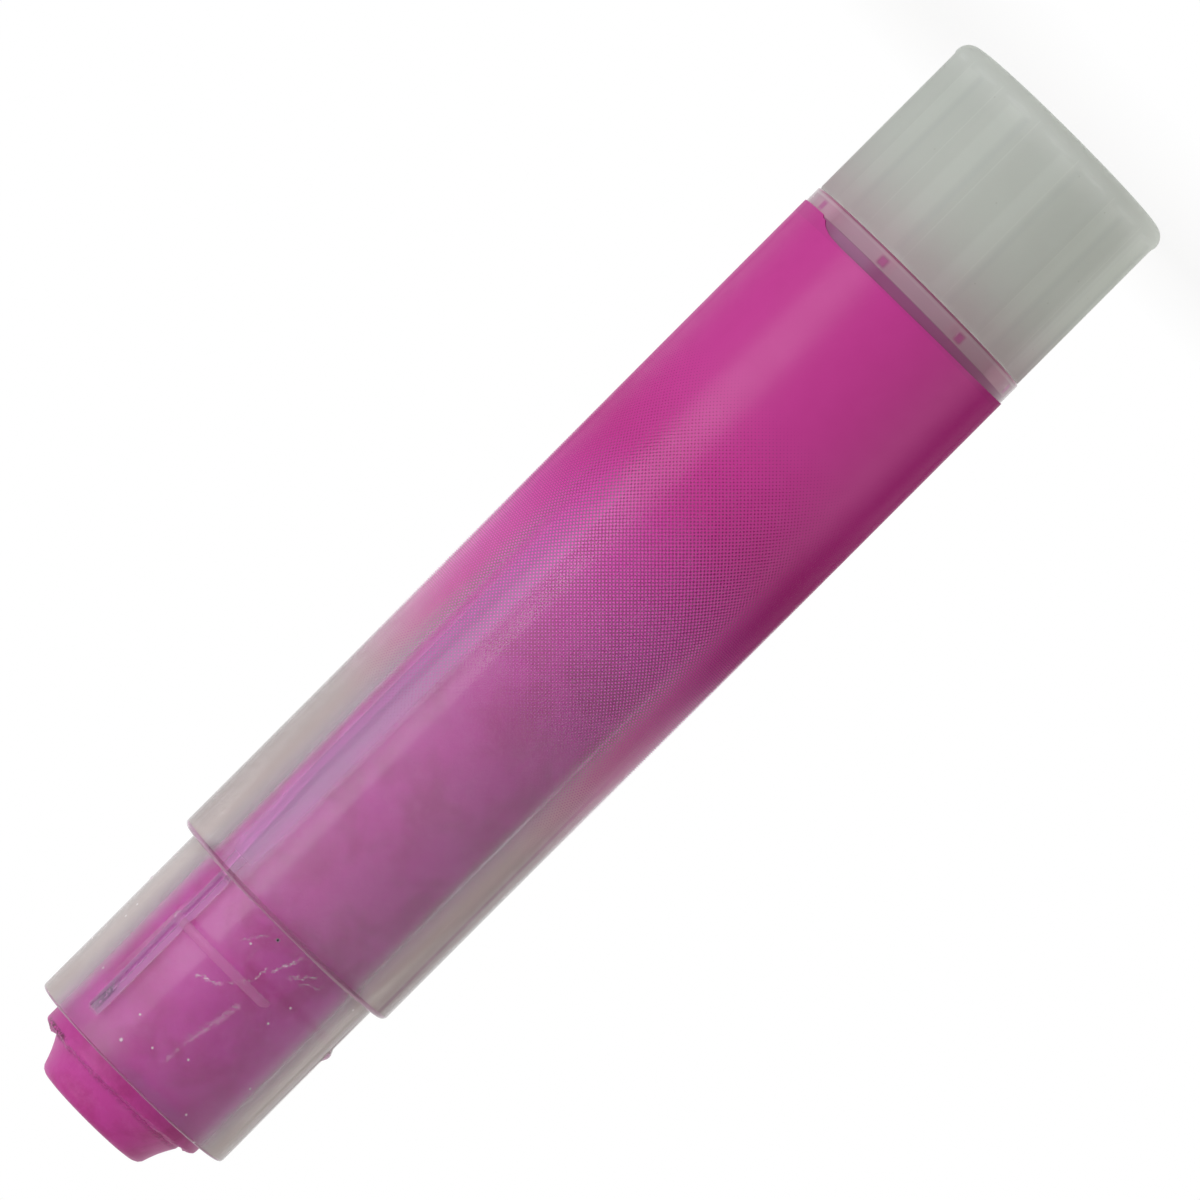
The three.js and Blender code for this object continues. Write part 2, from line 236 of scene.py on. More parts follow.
# %% Places, bands and clouds
def places(tree):
    spot = add_node(tree, "TexCoord").outputs["Object"]
    axes = add_node(tree, "VectorMath", {"operation": "MULTIPLY"}, {0: spot, 1: (-1000, -1000, 1000)})
    axes = add_node(tree, "SeparateXYZ", inputs={0: axes})
    flat = add_node(tree, "VectorMath", {"operation": "MULTIPLY"}, {0: spot, 1: (1000, 1000, 0)})
    radius = add_node(tree, "VectorMath", {"operation": "LENGTH"}, {0: flat}).outputs["Value"]
    turn = add_node(tree, "Math", {"operation": "ARCTAN2"}, {0: axes.outputs["X"], 1: axes.outputs["Y"]})
    angle = add_node(tree, "Math", {"operation": "DEGREES"}, {0: turn})
    return spot, axes.outputs["Z"], radius, angle.outputs[0]


def repeated(tree, angle, first, pitch):
    shifted = add_node(tree, "Math", {"operation": "ADD"}, {0: angle, 1: pitch / 2 - first + 360})
    return add_node(tree, "Math", {"operation": "MODULO"}, {0: shifted, 1: pitch})


def unroll(tree, angle, height, radius_mm):
    arc_mm = add_node(tree, "Math", {"operation": "MULTIPLY"}, {0: angle, 1: math.radians(1) * radius_mm})
    return add_node(tree, "CombineXYZ", inputs={0: arc_mm, 1: height})


def band(tree, value, low, high, soft):
    smooth = {"interpolation_type": "SMOOTHSTEP"}
    rise = add_node(tree, "MapRange", smooth, levels(value, low - soft, low + soft))
    fall = add_node(tree, "MapRange", smooth, levels(value, high - soft, high + soft, 1.0, 0.0))
    return add_node(tree, "Math", {"operation": "MULTIPLY"}, {0: rise, 1: fall})


def product(tree, *values):
    result = values[0]
    for value in values[1:]:
        result = add_node(tree, "Math", {"operation": "MULTIPLY"}, {0: result, 1: value})
    return result


def strongest(tree, *values):
    result = values[0]
    for value in values[1:]:
        result = add_node(tree, "Math", {"operation": "MAXIMUM"}, {0: result, 1: value})
    return result


def cloudy(tree, spot, size_mm, limits=None, detail=3.0, roughness=0.5, distortion=0.0):
    inputs = {"Vector": spot, "Scale": 1000 / size_mm, "Detail": detail}
    inputs |= {"Roughness": roughness, "Distortion": distortion}
    pattern = add_node(tree, "TexNoise", inputs=inputs).outputs["Fac"]
    return add_node(tree, "MapRange", inputs=levels(pattern, *limits)) if limits else pattern


print("pattern helpers are ready")

# %% [markdown]
# ## Clear barrel: natural polypropylene, injection moulded
# Unpigmented polypropylene is glossy outside and slightly milky: light scatters on its crystals.
# Straight on, one looks through 1 mm of it and sees the stick almost plainly. At the edges the
# line of sight runs through several millimetres, and the milk hides what lies behind. A real
# volume would take long to render and isn't kept by an export, so the share of milk grows with
# the slope of the surface. The milk looks warm grey, the clear part a little cool.

# %% Milk of the wall
BODY_RADIUS, BODY_BORE = 9.525, 8.65
NECK_RADIUS, NECK_BORE = 8.5, 7.65
BARREL_FOOT, SHOULDER, RIM = 14.24, 75.2, 89.8
TAPER_FOOT, TAPER_TOP = 66.0, 76.2
MILK_START, MILK_FULL = 0.26, 0.62

clear, tree = new_material("natural_polypropylene_moulded")
spot, height, radius, angle = places(tree)
on_outside = band(tree, radius, NECK_RADIUS - 0.1, 10.0, 0.05)
body_outside = band(tree, radius, 9.2, 10.0, 0.05)
slope = add_node(tree, "LayerWeight", inputs={"Blend": 0.5}).outputs["Facing"]
thicker = add_node(tree, "MapRange", inputs=levels(height, 74.0, 76.0, 1.3, 1.0))
slope = add_node(tree, "Math", {"operation": "MULTIPLY"}, {0: slope, 1: thicker})
smooth = {"interpolation_type": "SMOOTHSTEP"}
edge = add_node(tree, "MapRange", smooth, levels(slope, MILK_START, MILK_FULL))
cloud = cloudy(tree, spot, 4.0)
haze = add_node(tree, "MapRange", inputs=levels(cloud, 0.3, 0.7, 0.005, 0.02))
body_haze = add_node(tree, "MapRange", inputs=levels(height, 74.0, 76.0, 0.03, 0.0))
haze = add_node(tree, "Math", {"operation": "ADD"}, {0: haze, 1: body_haze})
# Painted shade: the wall is darkened where it turns away at the silhouette.
limb_shade = add_node(tree, "MapRange", inputs=levels(slope, 0.65, 1.1, 0.0, 0.7))
print("milk rises between slopes", MILK_START, "and", MILK_FULL)

# %% [markdown]
# Marks of use follow. The guide ribs lie in shade behind the wall, so light and shade are painted
# on them: a darker colour on one side, a pale one on the other and in the body. Wax dye has settled
# on them, in blots near the rim and as a thin line further down.

# %% Guide ribs and dye
RIB_ANGLE, RIB_PITCH = -40, 120.0
RIB_HALF = 4.0

from_rib = repeated(tree, angle, RIB_ANGLE, RIB_PITCH)
bore = add_node(tree, "MapRange", inputs=levels(height, TAPER_FOOT, TAPER_TOP, BODY_BORE, NECK_BORE))
from_bore = add_node(tree, "Math", {"operation": "SUBTRACT"}, {0: radius, 1: bore})
inside = band(tree, from_bore, -2.0, -0.05, 0.02)
on_neck = band(tree, height, 75.5, 88.3, 0.3)
rib_middle = RIB_PITCH / 2
# Painted shade on one side of each rib, painted light on the other and along the body's stretch.
shade_side_band = band(tree, from_rib, rib_middle - RIB_HALF, rib_middle - 0.4, 0.8)
light_side_band = band(tree, from_rib, rib_middle - 0.4, rib_middle + RIB_HALF, 0.8)
whole_rib = band(tree, from_rib, rib_middle - RIB_HALF, rib_middle + RIB_HALF, 0.8)
rib_shaded_side = product(tree, shade_side_band, inside, on_neck)
rib_lit_side = product(tree, light_side_band, inside, on_neck)
rib_lit_in_body = product(tree, whole_rib, inside, band(tree, height, 16.0, 75.5, 0.3))
blots = cloudy(tree, spot, 0.35, (0.44, 0.56))
trail = add_node(tree, "MapRange", inputs=levels(height, 75, 86, 0.1, 0.45))
trail = product(tree, trail, blots, rib_shaded_side)
dye = product(tree, blots, band(tree, height, 85.6, 88.4, 0.3), strongest(tree, rib_shaded_side, rib_lit_side))
print("ribs every", RIB_PITCH, "degrees")

# %% [markdown]
# Dried, flaky smears lie on the neck. Each is a straight stroke from one place to another, given
# as angle and height, with half its width and its strength. Noise bends the strokes, tears them
# and combs them slantwise, so that they read as crumbs dragged over the plastic. Fine hairline
# scratches run lengthwise, and a few grains of dust are picked out of a cell pattern.

# %% Smears, scratches and dust
STROKES = [
    ((-12.0, 81.5), (-9.0, 81.2), 0.09, 1.0),
    ((-9.0, 81.2), (-4.0, 81.05), 0.12, 1.0),
    ((-4.0, 81.05), (-0.5, 80.7), 0.10, 1.0),
    ((-0.5, 80.7), (8.7, 78.9), 0.06, 0.8),
    ((6.5, 87.1), (7.1, 85.0), 0.09, 0.45),
    ((7.1, 85.0), (12.6, 80.8), 0.22, 0.55),
    ((-8.0, 77.7), (-0.5, 76.1), 0.04, 0.8),
    ((8.7, 78.9), (9.5, 77.7), 0.07, 1.0),
    ((12.6, 77.7), (18.1, 75.6), 0.09, 1.0),
    ((20.4, 77.2), (30.0, 75.9), 0.09, 0.9),
    ((26.0, 77.0), (36.0, 76.2), 0.09, 0.7),
]
COMB_PITCH = 0.11
DUST_CELL, DUST_RADIUS, DUST_SHARE = 2.4, 0.035, 0.24

unrolled = unroll(tree, angle, height, NECK_RADIUS)
wander = cloudy(tree, spot, 0.45, (0.3, 0.7, -0.24, 0.24), detail=6.0, roughness=0.75)
torn = cloudy(tree, spot, 0.28, (0.40, 0.54, 0.3))
comb = add_node(tree, "VectorMath", {"operation": "DOT_PRODUCT"}, {0: unrolled, 1: (0.8, 1.0, 0)})
comb = add_node(tree, "Math", {"operation": "PINGPONG"}, {0: comb.outputs["Value"], 1: COMB_PITCH})
comb = add_node(tree, "MapRange", inputs=levels(comb, 0.02, 0.07, 1.0, 0.5))


def stroke(tree, start, end, half_width, share):
    run, rise = (end[0] - start[0]) * math.radians(1) * NECK_RADIUS, end[1] - start[1]
    length = math.hypot(run, rise)
    start = (start[0] * math.radians(1) * NECK_RADIUS, start[1], 0)
    place = add_node(tree, "VectorMath", {"operation": "SUBTRACT"}, {0: unrolled, 1: start})
    forward, sideways = (run / length, rise / length, 0), (-rise / length, run / length, 0)
    along = add_node(tree, "VectorMath", {"operation": "DOT_PRODUCT"}, {0: place, 1: forward})
    across = add_node(tree, "VectorMath", {"operation": "DOT_PRODUCT"}, {0: place, 1: sideways})
    across = add_node(tree, "Math", {"operation": "ADD"}, {0: across.outputs["Value"], 1: wander})
    line = band(tree, across, -half_width, half_width, half_width)
    return product(tree, band(tree, along.outputs["Value"], 0, length, 0.25), line, share)


smeared = strongest(tree, *[stroke(tree, *row) for row in STROKES])
lengthwise = add_node(tree, "VectorMath", {"operation": "MULTIPLY"}, {0: spot, 1: (1, 1, 0.06)})
hairs = cloudy(tree, lengthwise, 0.35, (0.62, 0.72, 0.0, 0.16), detail=2.0)
hairs = product(tree, hairs, cloudy(tree, spot, 3.0), on_outside, band(tree, height, 40.0, 90.0, 2.0))
smeared = strongest(tree, product(tree, smeared, torn, comb, on_outside), hairs)
cells = {"Vector": unrolled, "Scale": 1 / DUST_CELL, "Randomness": 1.0}
cells = add_node(tree, "TexVoronoi", {"voronoi_dimensions": "2D"}, cells)
keep = add_node(tree, "SeparateXYZ", inputs={0: cells.outputs["Color"]})
near = band(tree, cells.outputs["Distance"], -1.0, DUST_RADIUS, 0.008)
kept = band(tree, keep.outputs["X"], 1 - DUST_SHARE, 2.0, 0.01)
dust = product(tree, near, kept, on_outside, band(tree, height, 75.5, 90.0, 0.2))
print(len(STROKES), "strokes")

# %% [markdown]
# The other marks are patches, each given as a stretch of angle and a stretch of height, both with
# a soft border: a speck of soot, a chip, haze under the rim. Thick plastic bends light as well, and
# that is painted: a glow beside the rib, pale light on its edges on the neck, painted shade on the
# body's side away from the soft box and a darker line along that side.

# %% Patches
def patch(bearings, heights, *others):
    return product(tree, band(tree, angle, *bearings), band(tree, height, *heights), *others)


soot = patch((3.2, 4.6, 0.4), (75.8, 76.0, 0.05), on_outside)
chip = patch((-15.4, -13.8, 0.6), (87.95, 88.2, 0.08), on_outside)
rim_haze = patch((-8, 40, 12.0), (88.9, 90.0, 0.8))
rim_veil = patch((-48, -10, 12.0), (87.9, 91.5, 1.3), on_outside)
ghost = patch((-5, 65, 12.0), (78.2, 78.85, 0.3))
# Painted light: a glow beside the rib on the body, and pale light over the rib's edges on the neck.
rib_glow = patch((-41, -24, 3.0), (36, SHOULDER, 3.0), body_outside)
rib_upper_edge_light = product(tree, band(tree, angle, -40.0, -37.6, 0.5), 0.5)
painted_rib_light = strongest(tree, rib_upper_edge_light, band(tree, angle, -35.0, -31.2, 0.6))
painted_rib_light = product(tree, painted_rib_light, band(tree, height, 75.5, 88.2, 0.3), on_outside)
patchy = add_node(tree, "MapRange", inputs=levels(blots, 0.0, 1.0, 0.55))
rim_blot = patch((-38.0, -34.0, 0.7), (86.0, 88.15, 0.3), patchy, on_outside)
# Painted shade on the side of the body away from the soft box.
painted_shade_lower_side = patch((60, 88, 4.0), (16, SHOULDER, 0.5), body_outside)
# A darker line is painted along the side away from the soft box, where bent light shows it.
dark_line_on_body = patch((66.5, 70.0, 1.2), (50, SHOULDER, 2.0), body_outside)
dark_line_on_neck = patch((79.5, 84.0, 1.5), (76.4, 86.5, 0.8), 0.7)
painted_dark_line = strongest(tree, dark_line_on_body, dark_line_on_neck)
print("patches are placed")

# %% [markdown]
# Some marks run all the way round. The cap has rubbed the snap bead, and a highlight is painted on
# its crest; highlight rings are painted on the shoulder and the rim. Round the snap groove and the
# foot, magenta light from the print is painted on the wall, with a painted dark reflection in the
# groove that is lighter towards the soft box, a painted highlight line above the foot, and most
# magenta where the slots of the base's collar stand behind it. Up to 62 mm the milk at the sides is
# painted with the print's magenta light too.

# %% Rings
SLOT_ANGLE, SLOT_PITCH = -17.5, 45.0

# Painted highlight on the bead's crest, which the cap has also rubbed duller; painted highlight rings on
# the shoulder and the rim.
bead_rub_and_highlight = product(tree, band(tree, radius, 8.55, 8.9, 0.03), band(tree, height, 79.28, 80.02, 0.07))
ring_highlight = product(tree, band(tree, height, 74.8, 75.3, 0.05), band(tree, radius, 8.7, 9.7, 0.05))
ring_highlight = strongest(tree, ring_highlight, band(tree, height, 89.62, 90.0, 0.04))
# Painted dark reflection of magenta in the snap groove, lighter on the soft box's side.
groove = product(tree, band(tree, height, 15.58, 17.0, 0.06), body_outside)
groove_lit_side = product(tree, groove, band(tree, angle, -44, -20, 5.0))
# Painted magenta light at the foot and a painted highlight line just above it.
foot = band(tree, height, 14.0, 14.40, 0.03)
foot_highlight = band(tree, height, 14.48, 14.62, 0.06)
# Painted magenta light over the junction, and where the collar's slots stand behind the wall.
junction_light = product(tree, band(tree, height, 14.0, 16.2, 0.6), body_outside)
from_slot = repeated(tree, angle, SLOT_ANGLE, SLOT_PITCH)
slot_mark = product(
    tree,
    band(tree, from_slot, 20.4, 24.4, 1.1),
    band(tree, height, 14.72, 15.4, 0.16),
    body_outside,
)
# Painted magenta light of the print in the milk at the sides.
printed = add_node(tree, "MapRange", smooth, levels(height, 62.0, 49.0))
print("bead, groove and foot are placed")

# %% Wall shader
wall_colour = tinted(
    tree,
    linear("#eeeff6"),
    [
        (edge, "#c8b9b7"),
        (limb_shade, "#82726f"),
        (product(tree, painted_shade_lower_side, 0.45), "#8e6a72"),
        (product(tree, painted_dark_line, 0.75), "#84486c"),
        (product(tree, edge, printed, 0.9), "#df70b4"),
        (rib_glow, "#e8c2f1"),
        (painted_rib_light, "#f0b4f0"),
        (rim_blot, "#8a7290"),
        (rim_veil, "#e2cbe2"),
        (product(tree, junction_light, 0.85), "#cba2b6"),
        (groove, "#a35a8c"),
        (product(tree, groove_lit_side, 0.4), "#b88fb0"),
        (product(tree, junction_light, limb_shade), "#94627a"),
        (product(tree, slot_mark, 0.8), "#bc489a"),
        (product(tree, foot_highlight, 0.4), "#dccad2"),
        (foot, "#b0688c"),
        # Painted shade and painted light on the guide ribs.
        (rib_shaded_side, "#cc7dbe"),
        (rib_lit_side, "#ffc0ee"),
        (rib_lit_in_body, "#f4aee2"),
        (product(tree, rim_haze, 0.2), "#9a6cbc"),
        (bead_rub_and_highlight, "#e6b4dc"),
        (product(tree, ghost, 0.18), "#d070b0"),
        (ring_highlight, "#b98aa8"),
        (trail, "#b468b0"),
        (dye, "#c094b8"),
        (soot, "#1c1420"),
        (strongest(tree, smeared, dust, chip), "#f6f0f4"),
    ],
)
mist_layers = [
    (edge, 0.80),
    (rib_glow, 0.33),
    (painted_rib_light, 0.33),
    (rim_blot, 0.5),
    (rim_veil, 0.1),
    (bead_rub_and_highlight, 0.24),
    (junction_light, 0.5),
    (slot_mark, 0.62),
    (ring_highlight, 0.25),
    (strongest(tree, rib_shaded_side, rib_lit_side, rib_lit_in_body), 0.9),
    (rim_haze, 0.04),
    (soot, 0.95),
    (groove, 0.8),
    (foot, 0.5),
    (dye, 0.6),
    (strongest(tree, smeared, dust), 0.55),
    (chip, 0.6),
]
mist = strongest(tree, haze, *[product(tree, layer, share) for layer, share in mist_layers])
clarity = add_node(tree, "Math", {"operation": "SUBTRACT"}, {0: 1.0, 1: mist})
ripple = cloudy(tree, spot, 2.5, detail=2.0)
grain = cloudy(tree, spot, 0.12, detail=2.0)
relief = add_node(tree, "Math", {"operation": "MULTIPLY_ADD"}, {0: grain, 1: 0.06, 2: ripple})
relief = add_node(tree, "Math", {"operation": "MULTIPLY_ADD"}, {0: smeared, 1: 0.3, 2: relief})
bump = add_node(tree, "Bump", inputs={"Height": relief, "Distance": 0.03 * MM, "Strength": 0.35})
gloss = add_node(tree, "MapRange", inputs=levels(cloud, 0.3, 0.7, 0.07, 0.13))
worn_rim = product(tree, band(tree, height, 86.2, 90.0, 1.2), 0.22)
gloss = strongest(tree, gloss, worn_rim, product(tree, bead_rub_and_highlight, 0.26), product(tree, smeared, 0.26))
wall = add_node(
    tree,
    "BsdfPrincipled",
    inputs={
        "Base Color": wall_colour,
        "Roughness": gloss,
        "IOR": 1.49,
        "Specular Tint": (0.4, 0.4, 0.4, 1),
        "Transmission Weight": clarity,
        "Normal": bump,
    },
)
surface = cast_shadow_through(tree, wall, (0.90, 0.89, 0.90, 1))
add_node(tree, "OutputMaterial", inputs={"Surface": surface})
print("wall shader:", len(tree.nodes), "nodes")

# %% [markdown]
# ## Printed film: satin film, flexo printed in magenta
# The ink is solid up to 26 mm above the floor and then breaks up into a dot screen turned 45
# degrees, whose dots shrink to nothing at 67 mm. A real screen has a pitch of about 0.145 mm, which
# the picture can't hold, so it is drawn at 0.24 mm.

# %% Dot screen
SCREEN_PITCH = 0.24
PRINT_RADIUS = 9.6
PRINT_END, PRINT_SOLID = 67.0, 26.0

film_look, tree = new_material("satin_film_magenta_screen")
spot, height, radius, angle = places(tree)
arc_mm = add_node(tree, "Math", {"operation": "MULTIPLY"}, {0: angle, 1: math.radians(1) * PRINT_RADIUS})
cover = add_node(tree, "MapRange", inputs=levels(height, PRINT_END, PRINT_SOLID))
cover = add_node(tree, "Math", {"operation": "POWER"}, {0: cover, 1: 1.5})
wave_factor = 2 * math.pi / (SCREEN_PITCH * math.sqrt(2))
waves = []
for side in (1, -1):
    along = add_node(tree, "Math", {"operation": "MULTIPLY_ADD"}, {0: height, 1: side, 2: arc_mm})
    along = add_node(tree, "Math", {"operation": "MULTIPLY"}, {0: along, 1: wave_factor})
    waves.append(add_node(tree, "Math", {"operation": "COSINE"}, {0: along}))
screen = add_node(tree, "Math", {"operation": "ADD"}, {0: waves[0], 1: waves[1]})
screen = add_node(tree, "MapRange", inputs=levels(screen, -2.0, 2.0))
threshold = add_node(tree, "MapRange", inputs=levels(cover, 0.0, 1.0, 1.12, -0.12))
inked = add_node(tree, "Math", {"operation": "SUBTRACT"}, {0: screen, 1: threshold})
inked = add_node(tree, "MapRange", inputs=levels(inked, -0.12, 0.12, 0.0, 0.99))
print("screen pitch", SCREEN_PITCH, "mm")

# %% [markdown]
# The ink is a little mottled. Where it fades, the light from the stick that comes up between its
# dots is painted as a brighter ink, and on the side away from the soft box painted shade darkens it
# and it is made less shiny.

# %% Film shader
mottle = cloudy(tree, spot, 1.6, (0.3, 0.7, 0.0, 0.22), detail=4.0)
foot_edge = band(tree, height, 15.0, 16.55, 0.03)
# Painted light where the ink fades, and painted shade on the side away from the soft box.
light_between_dots = band(tree, height, 41.0, 70.0, 7.0)
away_from_box = band(tree, angle, 52, 89, 10.0)
ink_colour = tinted(
    tree,
    linear("#cd1c98"),
    [
        (mottle, "#bf1789"),
        (product(tree, light_between_dots, 0.8), "#f060d8"),
        (product(tree, foot_edge, 0.12), "#7d1060"),
        (product(tree, away_from_box, 0.3), "#8a1264"),
    ],
)
fibre = cloudy(tree, spot, 0.08, detail=2.0)
bump = add_node(tree, "Bump", inputs={"Height": fibre, "Distance": 0.01 * MM, "Strength": 0.25})
satin = add_node(tree, "MapRange", inputs=levels(mottle, 0.0, 0.22, 0.29, 0.35))
slope = add_node(tree, "LayerWeight", inputs={"Blend": 0.5}).outputs["Facing"]
shine = add_node(tree, "MapRange", inputs=levels(slope, 0.25, 0.75, 0.6, 0.035))
dull_away_from_box = add_node(tree, "MapRange", inputs=levels(away_from_box, 0.0, 1.0, 1.0, 0.15))
ink = add_node(
    tree,
    "BsdfPrincipled",
    inputs={
        "Base Color": ink_colour,
        "Roughness": satin,
        "Specular IOR Level": product(tree, shine, dull_away_from_box),
        "Alpha": inked,
        "Normal": bump,
    },
)
shadow_tint = tinted(tree, (1, 1, 1, 1), [(inked, "#fbcfe9")])
surface = cast_shadow_through(tree, ink, shadow_tint)
add_node(tree, "OutputMaterial", inputs={"Surface": surface})
print("film shader:", len(tree.nodes), "nodes")

# %% [markdown]
# ## Twist base: frosted polypropylene
# The base is moulded in the same plastic in a spark-eroded mould, which leaves it frosted: light
# goes in, scatters and comes out again near by, so flutes look soft, and a crisp highlight line is
# painted on their ridges. Its skin is cool grey. Light bands are painted where low ribs stand inside,
# with painted shade beside them, and near the barrel the print's magenta light is painted on it.

# %% Marks on the base
MEAN_RADIUS = 9.4
INNER_RIB_ANGLE, INNER_RIB_PITCH = -23.5, 30.0
RIDGE_ANGLE, FLUTE_PITCH = -12.6, 22.5
SPECK_CELL, SPECK_RADIUS = 2.8, 0.022

base_look, tree = new_material("frosted_polypropylene")
spot, height, radius, angle = places(tree)
cloud = cloudy(tree, spot, 3.0, (0.3, 0.7, 0.0, 0.35), detail=4.0)
# Painted magenta light from the print near the barrel, also on the collar.
print_light_in_base = add_node(tree, "MapRange", smooth, levels(height, 10.5, 14.6, 0.0, 0.55))
collar = band(tree, height, 14.25, 17.0, 0.03)
cup_wall = band(tree, height, 1.5, 13.9, 0.12)
from_rib = repeated(tree, angle, INNER_RIB_ANGLE, INNER_RIB_PITCH)
# Painted light bands where the inner ribs stand, and painted shade beside them.
glow_band = band(tree, from_rib, 11.0, 19.0, 1.0)
inner_glow = product(tree, glow_band, cup_wall, band(tree, radius, 8.9, 9.6, 0.05))
inner_shade = product(tree, band(tree, from_rib, 20.5, 23.0, 1.0), cup_wall)
from_ridge = repeated(tree, angle, RIDGE_ANGLE, FLUTE_PITCH)
# Painted highlight: a crisp light line on each ridge.
ridge_highlight = band(tree, from_ridge, 11.0, 11.5, 0.25)
ridge_highlight = product(tree, ridge_highlight, band(tree, height, 1.0, 14.3, 0.1))
specks = {"Vector": unroll(tree, angle, height, MEAN_RADIUS), "Scale": 1 / SPECK_CELL}
specks = add_node(tree, "TexVoronoi", {"voronoi_dimensions": "2D"}, specks)
keep = add_node(tree, "SeparateXYZ", inputs={0: specks.outputs["Color"]})
near = band(tree, specks.outputs["Distance"], -1.0, SPECK_RADIUS, 0.006)
specks = product(tree, near, band(tree, keep.outputs["X"], 0.7, 2.0, 0.01), 0.5)
from_slot = repeated(tree, angle, SLOT_ANGLE, SLOT_PITCH)
slot_dye = product(tree, band(tree, from_slot, 17.8, 27.2, 0.6), collar, 0.9)
print("inner ribs every", INNER_RIB_PITCH, "degrees, ridges every", FLUTE_PITCH)

# %% Base shader
THROUGH_SHARE = 0.66

base_colour = tinted(
    tree,
    linear("#cbcfcc"),
    [
        (cloud, "#c2c6c3"),
        (product(tree, inner_glow, 0.5), "#e3e8e4"),
        (product(tree, inner_shade, 0.35), "#aab0b6"),
        (product(tree, ridge_highlight, 0.5), "#eef1ee"),
        # Painted magenta light from the print near the barrel and on the collar.
        (print_light_in_base, "#c9aeb9"),
        (product(tree, collar, 0.8), "#cfa0b8"),
        (slot_dye, "#e0248f"),
        (specks, "#6f6a5c"),
    ],
)
frost = cloudy(tree, spot, 0.10, detail=3.0, roughness=0.6)
bump = add_node(tree, "Bump", inputs={"Height": frost, "Distance": 0.012 * MM, "Strength": 0.4})
dull = add_node(tree, "MapRange", inputs=levels(cloud, 0.0, 0.35, 0.30, 0.36))
skin = add_node(
    tree,
    "BsdfPrincipled",
    inputs={
        "Base Color": base_colour,
        "Roughness": dull,
        "IOR": 1.49,
        "Specular IOR Level": 0.4,
        "Normal": bump,
    },
)
through = add_node(tree, "BsdfTranslucent", inputs={"Color": linear("#f0f2ef")})
surface = add_node(tree, "MixShader", inputs={0: THROUGH_SHARE, 1: skin, 2: through})
surface = cast_shadow_through(tree, surface, (0.88, 0.89, 0.87, 1))
add_node(tree, "OutputMaterial", inputs={"Surface": surface})
print("base shader:", len(tree.nodes), "nodes")

# %% [markdown]
# ## Screw and cup: natural acetal
# Acetal is the usual plastic for a screw and a nut that slide. It is opaque, creamy white and has
# a soft sheen from the mould. Dust of the wax colours the flange and the parts near the stick.

# %% Inner shader
inner_look, tree = new_material("natural_acetal")
spot, height, radius, angle = places(tree)
cloud = cloudy(tree, spot, 2.0, (0.3, 0.7, 0.0, 0.4), detail=4.0)
dusty = cloudy(tree, spot, 0.5, (0.48, 0.62), detail=5.0, roughness=0.65)
flange_zone = band(tree, height, 14.0, 15.4, 0.1)
dusty = strongest(tree, product(tree, dusty, 0.35), product(tree, flange_zone, 0.85))
inner_colour = tinted(tree, linear("#dddad2"), [(cloud, "#cfcbc0"), (dusty, "#d040a0")])
fine = cloudy(tree, spot, 0.15)
bump = add_node(tree, "Bump", inputs={"Height": fine, "Distance": 0.01 * MM, "Strength": 0.4})
sheen = add_node(tree, "MapRange", inputs=levels(cloud, 0.0, 0.4, 0.34, 0.44))
acetal = {"Base Color": inner_colour, "Roughness": sheen, "Normal": bump}
acetal = add_node(tree, "BsdfPrincipled", inputs=acetal)
add_node(tree, "OutputMaterial", inputs={"Surface": acetal})
print("inner shader:", len(tree.nodes), "nodes")

# %% [markdown]
# ## Stick: pigmented wax gel, cast
# The stick is a soft, greasy wax full of magenta pigment. Light enters it a little, and its skin
# has a low, uneven sheen with fine grain from the mould, pits, and darker patches where it has
# been pressed against the barrel. The crack round the tip's foot is darker, in broken bits.

# %% Wax shader
wax_look, tree = new_material("magenta_wax_cast")
spot, height, radius, angle = places(tree)
patches = (0.44, 0.60, 0.0, 0.65)
patches = cloudy(tree, spot, 3.5, patches, detail=4.0, roughness=0.6, distortion=0.5)
pale = cloudy(tree, spot, 1.3, (0.52, 0.75, 0.0, 0.45), detail=5.0, roughness=0.65)
crumbs = cloudy(tree, spot, 0.22, (0.42, 0.56), roughness=0.6)
# Darker in broken bits in the crack round the tip's foot, strongest on one side, and on the ridge beside
# it.
crack = product(tree, band(tree, radius, 5.70, 5.98, 0.05), band(tree, height, 90.6, 91.25, 0.08))
rough_zone = product(tree, band(tree, radius, 5.6, 6.75, 0.1), band(tree, height, 90.3, 91.9, 0.2))
split = add_node(tree, "MapRange", inputs=levels(angle, -45.0, -30.0, 1.0, 0.25))
nicks = product(tree, band(tree, angle, -76.0, -46.0, 4.0), band(tree, height, 90.8, 91.3, 0.1), crumbs)
dark_bits = strongest(
    tree,
    product(tree, crack, crumbs, split),
    product(tree, rough_zone, crumbs, 0.25),
    product(tree, nicks, 0.9),
)
wax_colour = tinted(
    tree,
    linear("#c63c9d"),
    [(patches, "#b0267f"), (pale, "#cf5cab"), (dark_bits, "#5a1038")],
)
grain = cloudy(tree, spot, 0.35, detail=6.0, roughness=0.65)
crumble = product(tree, rough_zone, crumbs)
relief = add_node(tree, "Math", {"operation": "MULTIPLY_ADD"}, {0: crumble, 1: 1.2, 2: grain})
bump = add_node(tree, "Bump", inputs={"Height": relief, "Distance": 0.05 * MM, "Strength": 0.45})
greasy = add_node(tree, "MapRange", inputs=levels(pale, 0.0, 0.45, 0.42, 0.58))
wax = add_node(
    tree,
    "BsdfPrincipled",
    inputs={
        "Base Color": wax_colour,
        "Roughness": greasy,
        "IOR": 1.44,
        "Subsurface Weight": 0.15,
        "Subsurface Radius": (1.0, 0.25, 0.5),
        "Subsurface Scale": 0.5 * MM,
        "Normal": bump,
    },
)
add_node(tree, "OutputMaterial", inputs={"Surface": wax})
print("wax shader:", len(tree.nodes), "nodes")

